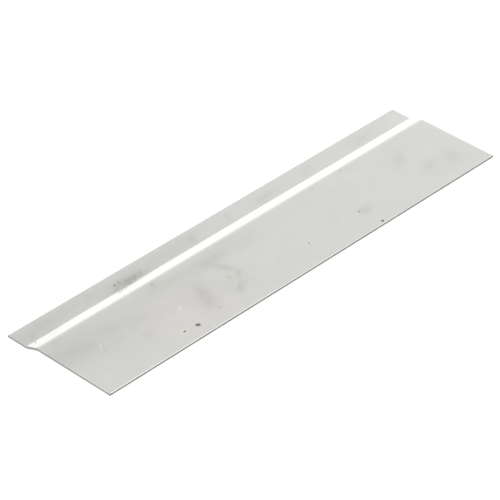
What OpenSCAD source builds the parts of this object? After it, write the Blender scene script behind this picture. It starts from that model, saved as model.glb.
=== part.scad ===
// Offset plate: one strip of bare sheet steel with a shallow joggle along its whole length.
// The wide flat stands one small step above the narrow lap flange, which tucks under the next sheet.
// X runs along the plate, Y from the front edge to the lap flange's edge, and Z up.
// The origin is at the bottom centre of the plate's box.

/* [Sheet] */
// Length of the strip, along X
plate_length = 305; // [150:1:450]
// Width of the finished plate from its front edge to its back edge, along Y
plate_width = 75; // [60:0.5:150]
// Thickness of the sheet
sheet_thickness = 1.2; // [0.8:0.1:1.6]

/* [Joggle] */
// Width of the flat part of the lap flange
lap_width = 13.3; // [8:0.1:25]
// Height of the step from the lap flange up to the wide flat
offset_height = 3.2; // [3:0.1:6]
// Slope of the riser between the two flats, in degrees
riser_angle = 20.7; // [15:0.1:30]
// Inside radius of the soft bend beside the wide flat
upper_bend_radius = 9; // [2:0.5:10]
// Inside radius of the tight bend beside the lap flange
lower_bend_radius = 1.2; // [0.8:0.1:2]

/* [Front edge] */
// Radius of the top corner that the shear rolled over along the front edge
rollover_radius = 0.4; // [0.2:0.05:0.6]

/* [Hidden] */
$fn = 96;

// Which way a bend turns the sheet
DOWN = -1;
UP = 1;

// Both bends turn by riser_angle, so together they count as one bend of this radius
bend_radii = upper_bend_radius + lower_bend_radius + sheet_thickness;
riser_length = (offset_height - bend_radii * (1 - cos(riser_angle))) / sin(riser_angle);
joggle_width = bend_radii * sin(riser_angle) + riser_length * cos(riser_angle);
wide_flat_width = plate_width - lap_width - joggle_width;

// A stretch of the profile starts at the origin, with its underside along the X axis.
// Its children go on from its far end.

module straight(length) {
    square([length, sheet_thickness]);
    translate([length, 0]) children();
}

module bend(turn, inside_radius) {
    outside_radius = inside_radius + sheet_thickness;
    reach = 2 * outside_radius;
    centre = turn == UP ? outside_radius : -inside_radius;
    translate([0, centre]) {
        intersection() {
            difference() {
                circle(outside_radius);
                circle(inside_radius);
            }
            translate([0, -reach]) square([reach, 2 * reach]);
            rotate(turn * riser_angle) translate([-reach, -reach]) square([reach, 2 * reach]);
        }
        rotate(turn * riser_angle) translate([0, -centre]) children();
    }
}

// What the shear took off the top corner at the start of the profile
module rollover() {
    translate([0, sheet_thickness - rollover_radius]) difference() {
        translate([-rollover_radius, 0]) square(2 * rollover_radius);
        translate([rollover_radius, 0]) circle(rollover_radius);
    }
}

module profile() {
    difference() {
        straight(wide_flat_width);
        rollover();
    }
    translate([wide_flat_width, 0])
        bend(DOWN, upper_bend_radius)
            straight(riser_length)
                bend(UP, lower_bend_radius)
                    straight(lap_width);
}

module offset_plate() {
    color("silver")
        translate([0, -plate_width / 2, offset_height])
            rotate([90, 0, 90])
                linear_extrude(height = plate_length, center = true)
                    profile();
}

offset_plate();
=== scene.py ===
import math

import bpy
import numpy as np
from mathutils import Matrix, Vector


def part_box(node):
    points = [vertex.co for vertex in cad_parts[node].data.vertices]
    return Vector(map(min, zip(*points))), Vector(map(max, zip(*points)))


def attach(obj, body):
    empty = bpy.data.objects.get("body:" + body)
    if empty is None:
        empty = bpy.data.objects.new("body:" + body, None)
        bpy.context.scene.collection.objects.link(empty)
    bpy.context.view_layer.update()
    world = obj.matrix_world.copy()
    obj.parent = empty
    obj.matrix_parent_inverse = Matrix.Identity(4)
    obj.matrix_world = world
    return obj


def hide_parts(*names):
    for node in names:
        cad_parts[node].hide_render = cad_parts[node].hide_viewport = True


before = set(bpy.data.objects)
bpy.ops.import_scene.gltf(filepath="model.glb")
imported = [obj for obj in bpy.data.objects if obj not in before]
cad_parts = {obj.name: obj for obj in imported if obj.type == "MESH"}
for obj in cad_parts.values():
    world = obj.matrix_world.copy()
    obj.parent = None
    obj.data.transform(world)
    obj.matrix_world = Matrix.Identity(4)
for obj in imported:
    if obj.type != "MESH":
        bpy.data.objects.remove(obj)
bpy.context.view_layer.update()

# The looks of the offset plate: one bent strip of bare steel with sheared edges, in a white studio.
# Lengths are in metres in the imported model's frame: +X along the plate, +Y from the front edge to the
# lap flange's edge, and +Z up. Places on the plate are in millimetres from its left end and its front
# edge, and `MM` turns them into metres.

NODE = "offset_plate"
MM = 0.001
SEED = 20

# --- The sheet, as it is in the CAD model ---
LOW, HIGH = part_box(NODE)
SHEET = 1.2 * MM
LAP_WIDTH = 13.3 * MM
RISER_ANGLE = math.radians(20.7)
# Bend radii, at the middle of the sheet
UPPER_BEND = 9 * MM + SHEET / 2
LOWER_BEND = 1.2 * MM + SHEET / 2

STEP = HIGH.z - LOW.z - SHEET
BENDS = UPPER_BEND + LOWER_BEND
RISER = (STEP - BENDS * (1 - math.cos(RISER_ANGLE))) / math.sin(RISER_ANGLE)
JOGGLE_WIDTH = BENDS * math.sin(RISER_ANGLE) + RISER * math.cos(RISER_ANGLE)
WIDE_FLAT = HIGH.y - LOW.y - LAP_WIDTH - JOGGLE_WIDTH

# Each stretch from the front edge: its length along the middle of the sheet, its turn per metre, and
# the spacing of the mesh's columns on it
STRETCHES = (
    (WIDE_FLAT, 0.0, 1.1 * MM),
    (UPPER_BEND * RISER_ANGLE, -1 / UPPER_BEND, 0.3 * MM),
    (RISER, 0.0, 0.9 * MM),
    (LOWER_BEND * RISER_ANGLE, 1 / LOWER_BEND, 0.12 * MM),
    (LAP_WIDTH, 0.0, 1.1 * MM),
)
ROUND_LENGTH = sum(length for length, turn, spacing in STRETCHES)
JOGGLE_START = WIDE_FLAT
JOGGLE_END = ROUND_LENGTH - LAP_WIDTH
ROW_SPACING = 1.2 * MM

# --- How far the real sheet strays from the drawn one ---
# Most that a flat sags
SAG = 0.04 * MM
# Most that the joggle wanders towards either edge, and how far beside it that takes to fade
JOGGLE_DRIFT = 0.16 * MM
DRIFT_FADE = 6 * MM
# Shallow dents: from the left end, from the front edge, half length, half width, turn in degrees, depth
DENTS = (
    (24.6, 31, 3.6, 1.3, 62, 0.13),
    (21.5, 27, 3, 1.8, 30, 0.08),
    (49, 20.5, 4.5, 3, 0, 0.05),
    (95, 27, 5, 3, 60, 0.05),
    (91.3, 10.8, 2.4, 1.8, 40, 0.05),
    (114.5, 26, 2.2, 1.8, 0, 0.05),
    (120, 25, 3.4, 2.2, 110, 0.05),
    (112, 18.5, 6, 1.3, 48, 0.13),
    (135, 11.5, 7, 1.6, 45, 0.07),
    (77, 25.5, 4, 1.6, 50, 0.09),
    (212, 15, 5, 3, 20, 0.05),
    (207, 50, 3, 1.5, 20, 0.05),
    (232, 50, 3, 1.5, 10, 0.06),
    (265, 38, 9, 3, 42, 0.04),
    (286, 14, 6, 5, 0, 0.05),
    (271, 19, 5, 4, 60, 0.05),
    (70.5, 67, 3, 1.5, 40, 0.06),
    (79, 65, 2.5, 1.5, 20, 0.06),
    (10, 65, 3, 1.5, 60, 0.06),
    (284, 70, 4, 1.5, 40, 0.06),
)
# Corroded pits in the top face: from the left end, from the front edge, radius, depth
PITS = (
    (72.5, 8.6, 1.3, 0.08),
    (63.7, 9.4, 0.8, 0.05),
    (211.7, 2.1, 0.9, 0.07),
    (209.2, 16.6, 0.6, 0.06),
    (167.4, 16.4, 0.7, 0.03),
    (69.4, 66.6, 0.8, 0.05),
)
PIT_FLOOR = 0.35  # share of a pit's radius that is its flat floor
# The mesh is fine around the pits, and around the dents whose half width is less than this
NARROW_DENT = 1.4
FINE_SPACING = 0.4 * MM
# How far from their middles the spacing begins to widen, and where it is wide again
FINE_REACH = (1.4 * MM, 4 * MM)

# --- The sheared edges ---
# Width and depth of the rolled over corner: of the front edge, and of the two ends and the back edge
FRONT_ROLLOVER = (0.75 * MM, 0.3 * MM)
OTHER_ROLLOVER = (0.5 * MM, 0.34 * MM)
ROLLOVER_STEPS = 6
# Depths in the cut as shares of the sheet: where the burnished part ends, where the torn part lies half
# of the way in, and where it has come all the way in
BURNISH_END = 0.45
TEAR_HALFWAY = 0.57
TEAR_END = 0.95
# How far in the torn part lies, and how far it is ragged
TEAR_INSET = 0.05 * MM
TEAR_RAGGED = 0.018 * MM
# Depth and width of the burr below the underside
BURR = 0.02 * MM
BURR_WIDTH = 0.1 * MM

# Material slots of the mesh
TOP, UNDERSIDE, BURNISHED, TORN = range(4)
SHARP_ANGLE = math.radians(40)


def smooth(x, start, end):
    """0 before start, 1 after end, with an S curve between."""
    t = np.clip((x - start) / (end - start), 0, 1)
    return t * t * (3 - 2 * t)


def stations(start, end, spacing, fine_places):
    """Positions from start to end, spacing apart but closer together at the fine places."""
    places = [start]
    while places[-1] < end:
        near = min(abs(places[-1] - place) for place in fine_places)
        share = float(smooth(near, *FINE_REACH))
        places.append(places[-1] + min(spacing, FINE_SPACING + (spacing - FINE_SPACING) * share))
    places = np.array(places)
    return start + (places - start) * (end - start) / (places[-1] - start)


def middle_of_sheet(s):
    """Y, Z and slope at the distances s from the front edge, measured round the bends."""
    y, z, slope = np.full_like(s, LOW.y), np.full_like(s, HIGH.z - SHEET / 2), np.zeros_like(s)
    start, heading = 0.0, 0.0
    for length, turn, spacing in STRETCHES:
        run = np.clip(s - start, 0, length)
        if turn:
            y += (np.sin(heading + turn * run) - math.sin(heading)) / turn
            z += (math.cos(heading) - np.cos(heading + turn * run)) / turn
        else:
            y += run * math.cos(heading)
            z += run * math.sin(heading)
        slope += turn * run
        start += length
        heading += turn * length
    return y, z, slope


class Waves:
    """A smooth random pattern from -1 to 1: sine waves of random direction, length and phase."""

    def __init__(self, random, count, longest, shortest):
        angle = random.uniform(0, math.pi, count)
        number = 2 * math.pi / random.uniform(shortest, longest, count)
        self.kx, self.ky = number * np.cos(angle), number * np.sin(angle)
        self.phase = random.uniform(0, 2 * math.pi, count)

    def __call__(self, x, y=0.0):
        total = sum(np.sin(kx * x + ky * y + p) for kx, ky, p in zip(self.kx, self.ky, self.phase))
        return total / len(self.phase)


RANDOM = np.random.default_rng(SEED)
SAG_WAVES = Waves(RANDOM, count=9, longest=90 * MM, shortest=22 * MM)
DRIFT_WAVES = Waves(RANDOM, count=6, longest=80 * MM, shortest=18 * MM)
RAGGED_WAVES = Waves(RANDOM, count=12, longest=6 * MM, shortest=0.9 * MM)


def from_edges(x, y):
    """Millimetres from the plate's left end and from its front edge."""
    return (x - LOW.x) / MM, (y - LOW.y) / MM


def dent_depth(x, y):
    """The depth of all the dents together, each fading out smoothly."""
    depth = np.zeros_like(x)
    from_left, from_front = from_edges(x, y)
    for left, front, half_length, half_width, turn, deep in DENTS:
        c, s = math.cos(math.radians(turn)), math.sin(math.radians(turn))
        u, v = from_left - left, from_front - front
        far_squared = ((c * u + s * v) / half_length) ** 2 + ((c * v - s * u) / half_width) ** 2
        depth += deep * MM * np.exp(-2 * far_squared)
    return depth


def pit_depth(x, y):
    """The depth of all the pits together, each with a flat floor."""
    depth = np.zeros_like(x)
    from_left, from_front = from_edges(x, y)
    for left, front, radius, deep in PITS:
        far = np.hypot(from_left - left, from_front - front) / radius
        depth += deep * MM * (1 - smooth(far, PIT_FLOOR, 1.0))
    return depth


def sheet_points(x, s, height, top_face=False):
    """Where the points of the sheet lie that are height above its middle."""
    past_start = smooth(s, JOGGLE_START - DRIFT_FADE, JOGGLE_START)
    past_end = smooth(s, JOGGLE_END, JOGGLE_END + DRIFT_FADE)
    drift = JOGGLE_DRIFT * DRIFT_WAVES(x) * (past_start - past_end)
    y, z, slope = middle_of_sheet(s - drift)
    lap_side = smooth(s, JOGGLE_START, JOGGLE_END)
    # The wide flat strays only downwards and the lap flange only upwards, so both stay in the CAD box.
    stray = SAG * (1 + SAG_WAVES(x, s)) / 2 + dent_depth(x, y)
    off = height + (2 * lap_side - 1) * stray
    if top_face:
        off = off - pit_depth(x, y)
    z = np.clip(z + off * np.cos(slope), LOW.z, HIGH.z)
    return np.stack([x, y - off * np.sin(slope), z], axis=-1)


def edge_section(rollover):
    """(distance in from the edge, height over the middle of the sheet, share of the ragged noise) from
    the top face down to the underside: rolled over, burnished, torn, then a small burr."""
    width, depth = rollover
    top, section = SHEET / 2, []
    for i in range(ROLLOVER_STEPS + 1):
        angle = i / ROLLOVER_STEPS * math.pi / 2
        section.append((width * (1 - math.sin(angle)), top - depth * (1 - math.cos(angle)), 0.0))
    section += [
        (0.0, top - BURNISH_END * SHEET, 0.0),
        (TEAR_INSET / 2, top - TEAR_HALFWAY * SHEET, 0.6),
        (TEAR_INSET, top - TEAR_END * SHEET, 1.0),
        (TEAR_INSET, -top - BURR, 0.4),
        (TEAR_INSET + BURR_WIDTH, -top, 0.0),
    ]
    return section


def grid_lines(front_inset, end_inset):
    """Where the top's grid has its rows along X, and its columns round the sheet. The front edge's
    rolled over corner begins front_inset from the edge, and the others' end_inset."""
    small = [pit[:2] for pit in PITS] + [dent[:2] for dent in DENTS if dent[3] < NARROW_DENT]
    fine_x = [LOW.x + left * MM for left, front in small]
    fine_s = [front * MM for left, front in small]
    xs = stations(LOW.x + end_inset, HIGH.x - end_inset, ROW_SPACING, fine_x)
    columns, start = [], 0.0
    for length, turn, spacing in STRETCHES:
        first, last = max(start, front_inset), min(start + length, ROUND_LENGTH - end_inset)
        columns.append(stations(first, last, spacing, fine_s)[:-1])
        start += length
    return xs, np.concatenate(columns + [[ROUND_LENGTH - end_inset]])


def round_the_grid(nx, ns):
    """The row and column of each point on the outline of a grid, once round it."""
    around = [(i, 0) for i in range(nx)]
    around += [(nx - 1, j) for j in range(1, ns)]
    around += [(i, ns - 1) for i in range(nx - 2, -1, -1)]
    around += [(0, j) for j in range(ns - 2, 0, -1)]
    return np.array(around).T


def edge_rings(xs, ss, ring_i, ring_j, front, other):
    """The points round the edge at each height of the cut between the top and the underside."""
    at_left, at_right = ring_i == 0, ring_i == len(xs) - 1
    at_front, at_back = ring_j == 0, ring_j == len(ss) - 1
    rings = []
    for (front_in, front_height, rough), (other_in, other_height, _) in zip(front[1:-1], other[1:-1]):
        x, s = xs[ring_i], ss[ring_j]
        ragged = np.abs(RAGGED_WAVES(x, s)) * rough * TEAR_RAGGED
        inset = other_in + ragged
        x = np.where(at_left, LOW.x + inset, np.where(at_right, HIGH.x - inset, x))
        s = np.where(at_front, front_in + ragged, np.where(at_back, ROUND_LENGTH - inset, s))
        rings.append(sheet_points(x, s, np.where(at_front, front_height, other_height)))
    return rings


def plate_mesh():
    """The closed mesh: a grid on the top, one on the underside, and rings round the edge joining them.
    Returns the points, and the faces of the top, of the underside and of each ring."""
    front, other = edge_section(FRONT_ROLLOVER), edge_section(OTHER_ROLLOVER)
    xs, ss = grid_lines(front[0][0], other[0][0])
    nx, ns = len(xs), len(ss)
    ring_i, ring_j = round_the_grid(nx, ns)

    grid_x, grid_s = np.meshgrid(xs, ss, indexing="ij")
    top = sheet_points(grid_x, grid_s, SHEET / 2, top_face=True).reshape(-1, 3)
    rings = edge_rings(xs, ss, ring_i, ring_j, front, other)
    # The underside's grid is the same, but its outermost lines lie where the burr ends.
    inner = other[-1][0]
    grid_x[0], grid_x[-1] = LOW.x + inner, HIGH.x - inner
    grid_s[:, 0], grid_s[:, -1] = inner, ROUND_LENGTH - inner
    under = sheet_points(grid_x, grid_s, -SHEET / 2).reshape(-1, 3)

    count, under_start = len(ring_i), len(top) + len(ring_i) * len(rings)
    corner = (np.arange(nx - 1)[:, None] * ns + np.arange(ns - 1)).ravel()
    top_faces = np.stack([corner, corner + ns, corner + ns + 1, corner + 1], axis=1)
    under_faces = under_start + top_faces[:, ::-1]
    loops = [ring_i * ns + ring_j]
    loops += [len(top) + count * k + np.arange(count) for k in range(len(rings))]
    loops += [under_start + ring_i * ns + ring_j]
    edge_faces = [
        np.stack([upper, lower, np.roll(lower, -1), np.roll(upper, -1)], axis=1)
        for upper, lower in zip(loops, loops[1:])
    ]
    return np.concatenate([top, *rings, under]), top_faces, under_faces, edge_faces


def make_plate(materials):
    """materials: one for each of the mesh's slots, in their order."""
    points, top_faces, under_faces, edge_faces = plate_mesh()
    groups = [top_faces, under_faces, *edge_faces]
    # The last step of the rolled over corner is burnished too.
    slots = [TOP, UNDERSIDE] + [TOP] * (ROLLOVER_STEPS - 1) + [BURNISHED] * 2
    slots += [TORN] * (len(groups) - len(slots))
    mesh = bpy.data.meshes.new(NODE)
    mesh.from_pydata(points.tolist(), [], np.concatenate(groups).tolist())
    for material in materials:
        mesh.materials.append(material)
    of_face = np.concatenate([np.full(len(g), slot, np.int32) for g, slot in zip(groups, slots)])
    mesh.polygons.foreach_set("material_index", of_face)
    mesh.polygons.foreach_set("use_smooth", np.ones(len(mesh.polygons), bool))
    mesh.set_sharp_from_angle(angle=SHARP_ANGLE)
    plate = bpy.data.objects.new("bent_sheet", mesh)
    bpy.context.collection.objects.link(plate)
    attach(plate, "root")
    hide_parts(NODE)


# --- Node helpers ---
def put(tree, socket, value):
    """Sets an input socket to a value, or links it to an output socket. None leaves it as it is."""
    if isinstance(value, bpy.types.NodeSocket):
        tree.links.new(value, socket)
    elif value is not None:
        socket.default_value = value


def math_node(tree, operation, a, b=None):
    made = tree.nodes.new("ShaderNodeMath")
    made.operation = operation
    put(tree, made.inputs[0], a)
    put(tree, made.inputs[1], b)
    return made.outputs[0]


def ramp(tree, value, start, end, low, high):
    """low up to start and high from end on, with an S curve between."""
    made = tree.nodes.new("ShaderNodeMapRange")
    made.interpolation_type = "SMOOTHSTEP"
    for name, given in (
        ("Value", value), ("From Min", start), ("From Max", end), ("To Min", low), ("To Max", high)
    ):
        put(tree, made.inputs[name], given)
    return made.outputs["Result"]


def mapped(tree, vector, place, turn, size):
    """The vector in a frame at place, turned by turn degrees about Z and counted in sizes."""
    made = tree.nodes.new("ShaderNodeMapping")
    made.vector_type = "TEXTURE"
    put(tree, made.inputs["Vector"], vector)
    made.inputs["Location"].default_value = place
    made.inputs["Rotation"].default_value = (0, 0, math.radians(turn))
    made.inputs["Scale"].default_value = size
    return made.outputs[0]


def noise(tree, vector, detail, roughness=0.5, distortion=0.0):
    """A noise texture about one unit of the vector across. Its outputs are a factor and a colour."""
    made = tree.nodes.new("ShaderNodeTexNoise")
    made.inputs["Scale"].default_value = 1.0
    made.inputs["Detail"].default_value = detail
    made.inputs["Roughness"].default_value = roughness
    made.inputs["Distortion"].default_value = distortion
    put(tree, made.inputs["Vector"], vector)
    return made.outputs


def pattern(tree, coords, size, turn, start, detail, roughness, distortion):
    """A noise from 0 to 1 in patches of that size in millimetres, turned by turn degrees about Z."""
    local = mapped(tree, coords, (start, 0, 0), turn, [side * MM for side in size])
    return noise(tree, local, detail, roughness, distortion)[0]


def tinted(tree, share, colour, under):
    """A mix of the two colours, with share of colour laid over under."""
    made = tree.nodes.new("ShaderNodeMix")
    made.data_type = "RGBA"
    # This node's sockets for colours are its inputs 6 and 7 and its output 2.
    put(tree, made.inputs[0], share)
    put(tree, made.inputs[6], under)
    put(tree, made.inputs[7], colour)
    return made.outputs[2]


def bump(tree, height, distance, normal=None):
    made = tree.nodes.new("ShaderNodeBump")
    made.inputs["Strength"].default_value = 1.0
    made.inputs["Distance"].default_value = distance
    put(tree, made.inputs["Height"], height)
    put(tree, made.inputs["Normal"], normal)
    return made.outputs[0]


def principled(name):
    material = bpy.data.materials.new(name)
    material.use_nodes = True
    tree = material.node_tree
    return material, tree, tree.nodes["Principled BSDF"]


def object_coords(tree):
    return tree.nodes.new("ShaderNodeTexCoord").outputs["Object"]


# --- Materials ---
STEEL = (0.715, 0.722, 0.686, 1)
STEEL_WARM = (0.729, 0.718, 0.688, 1)
STEEL_COOL = (0.718, 0.718, 0.71, 1)
# Grime's dark colour; the smudges also lay it on as painted shade.
GRIME_AND_SHADE = (0.2, 0.195, 0.175, 1)
# The cut edges' colours, and the darker ones of their streaks, both darkened partly with painted shade: the
# shadowed floor that the cut faces would reflect.
BURNISHED_COLOURS_WITH_SHADE = ((0.37, 0.37, 0.36, 1), (0.24, 0.24, 0.23, 1))
TORN_COLOURS_WITH_SHADE = ((0.25, 0.25, 0.24, 1), (0.14, 0.14, 0.135, 1))
# The cuts at the plate's two ends are tinted: the colour, its share, and how far from the end the tint
# begins and is in full
END_TINT = (0.62, 0.62, 0.6, 1)
END_TINT_SHARE = 0.3
END_TINT_REACH = (0.5 * MM, 0.2 * MM)
# Relief in the finish, for the bump nodes. The rolling lines' height is a share of the specks' depth.
SPECK_DEPTH = 0.003 * MM
LINES_SHARE = 0.5
GRAIN_HEIGHT = 0.0015 * MM
BURNISHED_HEIGHT = 0.004 * MM
TORN_HEIGHT = 0.012 * MM

# Noise patterns: size of a patch along X, Y and Z in millimetres, turn in degrees, where the pattern
# starts along X in metres so that no two match, detail, roughness, distortion
CLOUDS = ((45, 22, 1000), 8, 0.3, 3.0, 0.5, 0.4)
MOTTLE = ((12, 8, 1000), -5, 0.7, 2.0, 0.5, 0.0)
LINES = ((30, 0.22, 1000), 0, 0.1, 3.0, 0.6, 0.0)
GRAIN = ((1.2, 0.5, 1000), 0, 0.5, 3.0, 0.6, 0.0)
PATCHES_OF_DIRT_AND_SHADE = ((14, 9, 1000), 20, 0.9, 2.0, 0.4, 0.0)
WISPS_OF_DIRT_AND_SHADE = ((3, 1, 1000), 40, 0.4, 2.0, 0.5, 0.0)
CUT_PATCHES = ((9, 9, 1000), 0, 0.2, 3.0, 0.5, 0.0)
CUT_STREAKS = ((0.25, 0.25, 3), 0, 0.0, 3.0, 0.6, 0.0)

# What the patterns do: from and to which value of the noise, and how much at the one and the other
CLOUDS_WARMTH = (0.35, 0.68, 0.0, 0.2)  # share of the warm colour
CLOUDS_GRIME = (0.3, 0.7, 0.08, 0.06)  # these three: shares of grime, added up
MOTTLE_GRIME = (0.3, 0.75, 0.015, 0.0)
LINES_GRIME = (0.3, 0.7, 0.01, 0.0)
MOTTLE_ROUGHNESS = (0.3, 0.7, 0.24, 0.26)
LINES_ROUGHNESS = (0.3, 0.7, -0.01, 0.01)  # added to the mottle's
PATCHES_GAIN = (0.3, 0.7, 1.15, 0.85)  # the smudges' dirt and painted light are multiplied by it
WISPS_GAIN = (0.35, 0.65, -0.4, 0.35)  # this share of the dirt and painted light is added to it
STREAKS_DARK = (0.3, 0.7, 0.0, 0.6)  # these two: shares of the cut's darker colour, added up
CUT_PATCHES_DARK = (0.3, 0.7, 0.0, 0.4)
BURNISHED_ROUGHNESS = (0.3, 0.7, 0.3, 0.42)
TORN_ROUGHNESS = (0.3, 0.7, 0.55, 0.67)
WISPY_DIRT_AND_SHADE = (0.22, 0.45, 0.0, 1.0)  # from and to which amount of dirt and painted shade the wisps come in
# How much rougher the steel is where the smudges make it all dirt and painted shade, and in a speck
DIRT_ROUGHNESS = 0.3
SPECK_ROUGHNESS = 0.35

# How outlines wander: size of the noise that moves them, how far, and its detail
SOFT_OUTLINES = (12 * MM, 2 * MM, 0.5)
GENTLE_OUTLINES = (3 * MM, 0.5 * MM, 1.0)
SHARP_OUTLINES = (0.7 * MM, 0.35 * MM, 3.0)
# Smudges and painted light with at most this half width have gentle outlines, and the others soft ones
NARROW_ENTRY = 3
WARM_CORE = 0.4  # share of a warm area's size where it is in full
CLOUD_RIM = 0.06  # what is left of a cloud on its outline

# This table and the next three hold well under 76 ovals together, because 77 rendered the plate black.
# Where the steel's colour is warmer: from the left end, from the front edge, half length, half width
# and turn in degrees
WARM_AREAS = ((78, 20, 50, 34, 0), (29, 4, 8, 7, 0))
# Where it is cooler
COOL_AREAS = (
    (2, 50, 12, 12, 0),
    (30, 72, 16, 4, 0),
    (86, 71, 22, 6, 0),
    (124, 72, 12, 5, 0),
    (174, 73, 18, 4, 0),
    (156, 45, 10, 8, 60),
    (188, 46, 12, 5, 30),
    (303, 40, 10, 20, 0),
)
# Smudges of dirt, painted shade and painted highlights: the same values, and how much of the grime's colour
# they take. Below 0 the steel is lighter, a painted highlight.
SMUDGES_AND_PAINTED_LIGHT = (
    # These four are painted shade: broad darkening of the wide flat's back half, the riser and the lap
    # flange, most towards the left.
    (5, 41, 110, 22, -5, 0.2),
    (22, 68, 150, 12, 0, 0.178),
    (110, 68, 50, 10, 0, 0.08),
    (118, 45, 52, 10, 0, 0.15),
    (95, 28, 34, 22, 60, 0.06),
    # These three are dirt and painted shade along the crease of the lower bend.
    (14, 61.6, 22, 1.5, 0, 0.14),
    (70, 62.8, 19, 2.2, 0, 0.23),
    (76, 61, 9, 2.2, 0, 0.18),
    (77, 64.8, 18, 5.5, 0, 0.35),
    (70, 66, 4, 3, 30, 0.14),
    (84, 64, 11, 4, 8, 0.17),
    (86.6, 66, 3.8, 2.8, 30, 0.2),
    (9, 65, 6, 2.5, 35, 0.12),
    (128, 67, 8, 5, 70, 0.12),
    (158, 68, 5, 3, 60, 0.14),
    (186, 66, 16, 5, 5, 0.14),
    (222, 68, 12, 5, 20, 0.09),
    (268, 67, 16, 6, 5, 0.11),
    (80, 47.5, 15, 6, 0, 0.12),
    (81, 49.5, 3.5, 1.8, 10, 0.14),
    # Painted shade: the shaded slope beside the dents at 21.5, 27 and 24.6, 31.
    (23, 27.8, 3.2, 1.8, 30, 0.06),
    (49, 20.5, 5.5, 4, 20, 0.14),
    (92, 20, 15, 9, 62, 0.15),
    (95.5, 28, 7.5, 6, 80, 0.11),
    (111, 15, 8.5, 5, 45, 0.14),
    (114.5, 26, 2.6, 2.3, 0, 0.2),
    (120, 25, 4.5, 3.4, 45, 0.2),
    (117, 22, 6, 1.6, 50, 0.08),
    (116, 22, 17, 15, 0, 0.06),
    (119, 35, 12, 5.5, 112, 0.16),
    (213, 15.5, 9, 6, 20, 0.13),
    (208, 50, 3.5, 1.2, 20, 0.12),
    (264, 36, 14, 6, 42, 0.12),
    (271, 18, 12, 10, 60, 0.1),
    (287, 14, 11, 12, 0, 0.12),
    # Painted highlights: lighter streaks on three dents' slopes, and a lighter reflection at the lap
    # flange's right end.
    (24.5, 31.2, 3.2, 1.3, 62, -0.1),
    (76.7, 25.5, 3.4, 2, 45, -0.16),
    (113.5, 19.7, 5.5, 1.1, 48, -0.16),
    (297, 64, 16, 14, 0, -0.06),
)
# Specks: from the left end, from the front edge, half length, half width, turn in degrees, where their
# fade begins, colour
SPECKS = (
    (72.6, 8.5, 2.0, 1.6, -35, 0.5, (0.23, 0.22, 0.187, 1)),
    (63.7, 9.4, 2.8, 2.4, 0, 0.1, (0.74, 0.67, 0.61, 1)),
    (63.7, 9.4, 1.2, 1.0, 0, 0.4, (0.3, 0.25, 0.215, 1)),
    (211.7, 2.1, 1.3, 1.0, 70, 0.4, (0.12, 0.12, 0.11, 1)),
    (209.2, 16.9, 1.1, 0.8, 0, 0.3, (0.3, 0.29, 0.26, 1)),
    (167.4, 16.4, 1.6, 0.9, 30, 0.1, (0.46, 0.45, 0.42, 1)),
    (69.4, 66.6, 1.5, 1.2, 30, 0.1, (0.4, 0.39, 0.35, 1)),
    (83.2, 65.2, 4.8, 3.4, 15, 0.0, (0.562, 0.543, 0.508, 1)),
    (66.3, 59.6, 1.6, 0.4, 40, 0.3, (0.35, 0.33, 0.3, 1)),
    (68.6, 60.2, 1.8, 0.5, 35, 0.1, (0.5, 0.49, 0.46, 1)),
    (71.6, 60.4, 2, 0.5, 40, 0.1, (0.5, 0.49, 0.46, 1)),
    (5.5, 60, 1.4, 0.6, 50, 0.3, (0.4, 0.4, 0.42, 1)),
    (232.2, 51.2, 1.4, 0.5, -30, 0.1, (0.42, 0.42, 0.39, 1)),
    (81, 50.6, 1.8, 0.6, 10, 0.2, (0.42, 0.41, 0.37, 1)),
    (109.5, 63.8, 1.0, 0.4, 40, 0.2, (0.38, 0.37, 0.33, 1)),
    (91.3, 11.2, 1.3, 0.8, 60, 0.1, (0.5, 0.49, 0.45, 1)),
    (78.7, 65.2, 2.2, 1.5, 60, 0.0, (0.53, 0.515, 0.475, 1)),
    (72.7, 67.2, 2, 0.8, 40, 0.0, (0.42, 0.41, 0.38, 1)),
)


def oval(tree, vector, left, front, half_length, half_width, turn):
    """The distance from the middle of an oval, counted in its own size: 1 on its outline."""
    place = (LOW.x + left * MM, LOW.y + front * MM, 0)
    size = (half_length * MM, half_width * MM, 1)
    made = tree.nodes.new("ShaderNodeVectorMath")
    made.operation = "LENGTH"
    put(tree, made.inputs[0], mapped(tree, vector, place, turn, size))
    return made.outputs["Value"]


def spot(tree, vector, *outline, core):
    """1 in the core of an oval and 0 outside its outline, fading between."""
    return ramp(tree, oval(tree, vector, *outline), core, 1.0, 1.0, 0.0)


def cloud(tree, vector, *outline):
    """1 in the middle of an oval, a half at half its size, and nearly 0 from its outline on."""
    far = oval(tree, vector, *outline)
    return math_node(tree, "POWER", CLOUD_RIM, math_node(tree, "MULTIPLY", far, far))


def wandering(tree, vector, size, reach, detail):
    """The vector moved about by noise of that size, so that outlines drawn on it wander by reach."""
    colour = noise(tree, mapped(tree, vector, (0, 0, 0), 0, (size, size, size)), detail)[1]
    centred = tree.nodes.new("ShaderNodeVectorMath")
    centred.operation = "MULTIPLY_ADD"
    put(tree, centred.inputs[0], colour)
    centred.inputs[1].default_value = (2 * reach,) * 3
    centred.inputs[2].default_value = (-reach,) * 3
    moved = tree.nodes.new("ShaderNodeVectorMath")
    put(tree, moved.inputs[0], vector)
    put(tree, moved.inputs[1], centred.outputs[0])
    return moved.outputs[0]


def with_areas(tree, colour, soft):
    """The steel's colour with its warmer and cooler areas. Soft is the vector that they are drawn on."""
    for outline in WARM_AREAS:
        colour = tinted(tree, spot(tree, soft, *outline, core=WARM_CORE), STEEL_WARM, colour)
    for outline in COOL_AREAS:
        colour = tinted(tree, cloud(tree, soft, *outline), STEEL_COOL, colour)
    return colour


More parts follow.
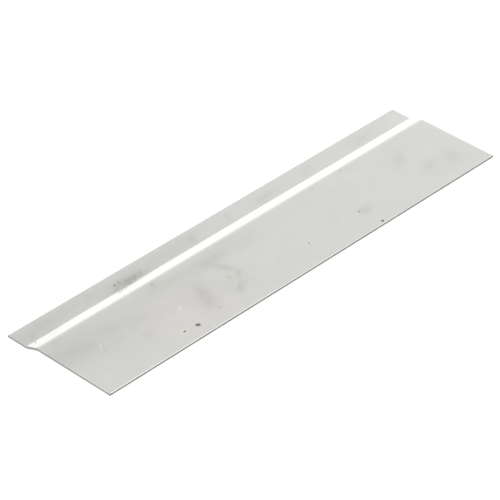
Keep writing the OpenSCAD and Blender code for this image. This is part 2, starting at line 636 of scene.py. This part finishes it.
def smudge_dirt_and_painted_light(tree, coords, soft):
    """How much the smudges darken the steel with dirt and painted shade, and below 0 lighten it with
    painted highlights: patchy all over, and in wisps where it is thick.
    """
    gentle = wandering(tree, coords, *GENTLE_OUTLINES)
    # What the smudges leave of the steel's colour: below 1 under dirt and painted shade, above 1 under
    # painted highlights.
    clean_and_lit = 1.0
    for *outline, strength in SMUDGES_AND_PAINTED_LIGHT:
        vector = soft if outline[3] > NARROW_ENTRY else gentle
        share = math_node(tree, "MULTIPLY", cloud(tree, vector, *outline), -strength)
        clean_and_lit = math_node(tree, "MULTIPLY", clean_and_lit, math_node(tree, "ADD", share, 1.0))
    patchy = ramp(tree, pattern(tree, coords, *PATCHES_OF_DIRT_AND_SHADE), *PATCHES_GAIN)
    dirt_and_painted_light = math_node(tree, "MULTIPLY", math_node(tree, "SUBTRACT", 1.0, clean_and_lit), patchy)
    wisps = ramp(tree, pattern(tree, coords, *WISPS_OF_DIRT_AND_SHADE), *WISPS_GAIN)
    wispy = math_node(tree, "MULTIPLY", wisps, ramp(tree, dirt_and_painted_light, *WISPY_DIRT_AND_SHADE))
    return math_node(tree, "MULTIPLY", dirt_and_painted_light, math_node(tree, "ADD", wispy, 1.0))


def with_specks(tree, coords, colour):
    """The colour with its specks, and the share of each place that they cover."""
    sharp = wandering(tree, coords, *SHARP_OUTLINES)
    stained = 0.0
    for *outline, core, speck_colour in SPECKS:
        share = spot(tree, sharp, *outline, core=core)
        colour = tinted(tree, share, speck_colour, colour)
        stained = math_node(tree, "MAXIMUM", stained, share)
    return colour, stained


def rolled_steel(name, marked):
    """Bare rolled sheet: faint clouds, mottle, rolling lines and grain and, if marked, its marks and
    painted light.
    """
    material, tree, shader = principled(name)
    coords = object_coords(tree)
    clouds, mottle = pattern(tree, coords, *CLOUDS), pattern(tree, coords, *MOTTLE)
    lines, grain = pattern(tree, coords, *LINES), pattern(tree, coords, *GRAIN)

    colour = tinted(tree, ramp(tree, clouds, *CLOUDS_WARMTH), STEEL_WARM, STEEL)
    grime_and_painted_light = math_node(tree, "ADD", ramp(tree, clouds, *CLOUDS_GRIME), ramp(tree, mottle, *MOTTLE_GRIME))
    grime_and_painted_light = math_node(tree, "ADD", grime_and_painted_light, ramp(tree, lines, *LINES_GRIME))
    patchy, lined = ramp(tree, mottle, *MOTTLE_ROUGHNESS), ramp(tree, lines, *LINES_ROUGHNESS)
    roughness = math_node(tree, "ADD", patchy, lined)
    height = math_node(tree, "MULTIPLY", lines, LINES_SHARE)
    if marked:
        soft = wandering(tree, coords, *SOFT_OUTLINES)
        colour = with_areas(tree, colour, soft)
        dirt_and_painted_light = smudge_dirt_and_painted_light(tree, coords, soft)
        # The smudges' dirt, painted shade and painted highlights join the grime here.
        grime_and_painted_light = math_node(tree, "ADD", grime_and_painted_light, dirt_and_painted_light)
        rougher = math_node(tree, "MULTIPLY", dirt_and_painted_light, DIRT_ROUGHNESS)
        roughness = math_node(tree, "ADD", roughness, rougher)
    colour = tinted(tree, grime_and_painted_light, GRIME_AND_SHADE, colour)
    if marked:
        colour, stained = with_specks(tree, coords, colour)
        rougher = math_node(tree, "MULTIPLY", stained, SPECK_ROUGHNESS)
        roughness = math_node(tree, "ADD", roughness, rougher)
        height = math_node(tree, "SUBTRACT", height, stained)

    shader.inputs["Metallic"].default_value = 1.0
    put(tree, shader.inputs["Base Color"], colour)
    put(tree, shader.inputs["Roughness"], roughness)
    normal = bump(tree, height, SPECK_DEPTH)
    put(tree, shader.inputs["Normal"], bump(tree, grain, GRAIN_HEIGHT, normal))
    return material


def cut_steel(name, colours, roughness, streak_height):
    """A sheared edge, with streaks that run through the sheet's thickness. The colours are the light one
    and the dark one, and roughness says how rough the streaks are, like the other patterns' values."""
    material, tree, shader = principled(name)
    coords = object_coords(tree)
    light, dark = colours
    streaks, patches = pattern(tree, coords, *CUT_STREAKS), pattern(tree, coords, *CUT_PATCHES)
    streaked, patchy = ramp(tree, streaks, *STREAKS_DARK), ramp(tree, patches, *CUT_PATCHES_DARK)
    colour = tinted(tree, math_node(tree, "ADD", streaked, patchy), dark, light)

    split = tree.nodes.new("ShaderNodeSeparateXYZ")
    tree.links.new(coords, split.inputs[0])
    from_middle = math_node(tree, "ABSOLUTE", split.outputs[0])
    reach = [HIGH.x - inset for inset in END_TINT_REACH]
    colour = tinted(tree, ramp(tree, from_middle, *reach, 0.0, END_TINT_SHARE), END_TINT, colour)

    shader.inputs["Metallic"].default_value = 1.0
    put(tree, shader.inputs["Base Color"], colour)
    put(tree, shader.inputs["Roughness"], ramp(tree, streaks, *roughness))
    put(tree, shader.inputs["Normal"], bump(tree, streaks, streak_height))
    return material


# --- Studio ---
FLOOR_SIDE = 12.0
FLOOR_COLOUR = (0.14, 0.14, 0.14, 1)
FLOOR_GLOW = (1, 1, 0.995, 1)
FLOOR_GLOW_STRENGTH = 0.92
ZENITH = 90
# Elevations are in degrees above the horizon, and headings in degrees from +Y towards +X. A white card
# stands roughly opposite the camera. It fades out from CARD_RIM degrees before its side to CARD_RIM
# degrees past it, and below the horizon between the elevations of CARD_BOTTOM.
CARD_HEADING = 37.4
CARD_HALF_WIDTH = 30
CARD_RIM = 8
CARD_BOTTOM = (-3, 0)
# The radiance that a colour ramp's white stands for
BRIGHTEST = 3.0
# Radiance of the studio at each elevation: all round, and what the card adds
ALL_ROUND = (
    (0, 1.0), (2.5, 0.98), (8, 0.68), (15, 0.56), (25, 0.64), (38, 0.83), (43, 0.9), (50, 1.3), (56, 1.75),
    (66, 0.8), (90, 0.75),
)
CARD = (
    (0, 1.07), (5, 0.98), (8, 0.94), (11, 0.88), (16, 0.75), (22, 0.57), (27, 0.4), (33, 0.23), (38, 0.125),
    (43, 0.0),
)
# One side of the studio is brighter: the headings between which it brightens and the gain at each. Near
# the horizon it is as bright as the floor all round, so the gain comes in between these elevations.
BRIGHT_SIDE = (20, 75, 0.86, 1.065)
GAIN_STARTS = (4, 14)


def white_floor():
    """Matt, and glowing so that it stays as white as the studio around it."""
    material, _, shader = principled("white_floor")
    shader.inputs["Base Color"].default_value = FLOOR_COLOUR
    shader.inputs["Roughness"].default_value = 1.0
    shader.inputs["Specular IOR Level"].default_value = 0.0
    shader.inputs["Emission Color"].default_value = FLOOR_GLOW
    shader.inputs["Emission Strength"].default_value = FLOOR_GLOW_STRENGTH
    return material


def make_floor():
    mesh = bpy.data.meshes.new("floor")
    half = FLOOR_SIDE / 2
    corners = [(-half, -half, 0), (half, -half, 0), (half, half, 0), (-half, half, 0)]
    mesh.from_pydata(corners, [], [(0, 1, 2, 3)])
    mesh.materials.append(white_floor())
    floor = bpy.data.objects.new("floor", mesh)
    floor.location.z = LOW.z
    bpy.context.collection.objects.link(floor)


def by_elevation(tree, elevation, levels):
    """The radiance at that elevation. Levels holds some elevations with the radiance there."""
    made = tree.nodes.new("ShaderNodeValToRGB")
    stops = made.color_ramp.elements
    while len(stops) < len(levels):
        stops.new(0.5)
    for stop, (degrees, radiance) in zip(stops, levels):
        stop.position = degrees / ZENITH
        stop.color = (radiance / BRIGHTEST,) * 3 + (1,)
    put(tree, made.inputs[0], math_node(tree, "DIVIDE", elevation, ZENITH))
    return math_node(tree, "MULTIPLY", made.outputs[0], BRIGHTEST)


def make_studio():
    world = bpy.data.worlds.new("studio")
    bpy.context.scene.world = world
    world.use_nodes = True
    tree = world.node_tree
    background = tree.nodes["Background"]
    background.inputs["Color"].default_value = (1, 1, 1, 1)
    coords = tree.nodes.new("ShaderNodeTexCoord")
    split = tree.nodes.new("ShaderNodeSeparateXYZ")
    tree.links.new(coords.outputs["Generated"], split.inputs[0])
    x, y, z = split.outputs
    elevation = math_node(tree, "MULTIPLY", math_node(tree, "ARCSINE", z), 180 / math.pi)
    heading = math_node(tree, "MULTIPLY", math_node(tree, "ARCTAN2", x, y), 180 / math.pi)
    away = math_node(tree, "ABSOLUTE", math_node(tree, "SUBTRACT", heading, CARD_HEADING))
    facing = ramp(tree, away, CARD_HALF_WIDTH - CARD_RIM, CARD_HALF_WIDTH + CARD_RIM, 1.0, 0.0)
    facing = math_node(tree, "MULTIPLY", facing, ramp(tree, elevation, *CARD_BOTTOM, 0.0, 1.0))
    card = math_node(tree, "MULTIPLY", by_elevation(tree, elevation, CARD), facing)
    side = ramp(tree, heading, *BRIGHT_SIDE)
    raised = ramp(tree, elevation, *GAIN_STARTS, 0.0, 1.0)
    gain = math_node(tree, "MULTIPLY", math_node(tree, "SUBTRACT", side, 1.0), raised)
    light = math_node(tree, "ADD", by_elevation(tree, elevation, ALL_ROUND), card)
    light = math_node(tree, "MULTIPLY", light, math_node(tree, "ADD", gain, 1.0))
    tree.links.new(light, background.inputs["Strength"])


# --- Camera ---
LENS = 205.06
SENSOR = 36.0
TARGET = Vector((-12.2 * MM, -2.7 * MM, HIGH.z))
DISTANCE = 1.5323
AZIMUTH = math.radians(-47.98)
ELEVATION = math.radians(35.63)
ROLL = math.radians(1.69)


def make_camera():
    data = bpy.data.cameras.new("camera")
    data.lens = LENS
    data.sensor_width = SENSOR
    camera = bpy.data.objects.new("camera", data)
    bpy.context.collection.objects.link(camera)
    level, height = math.cos(ELEVATION), math.sin(ELEVATION)
    back = Vector((math.sin(AZIMUTH) * level, -math.cos(AZIMUTH) * level, height))
    turn = (-back).to_track_quat("-Z", "Y").to_matrix().to_4x4()
    place = Matrix.Translation(TARGET + back * DISTANCE)
    camera.matrix_world = place @ turn @ Matrix.Rotation(ROLL, 4, "Z")
    bpy.context.scene.camera = camera


make_camera()
make_plate(
    [
        rolled_steel("rolled_steel", marked=True),
        rolled_steel("rolled_steel_underside", marked=False),
        cut_steel("burnished_edge", BURNISHED_COLOURS_WITH_SHADE, BURNISHED_ROUGHNESS, BURNISHED_HEIGHT),
        cut_steel("torn_edge", TORN_COLOURS_WITH_SHADE, TORN_ROUGHNESS, TORN_HEIGHT),
    ]
)
make_floor()
make_studio()
bpy.context.scene.view_settings.view_transform = "Standard"
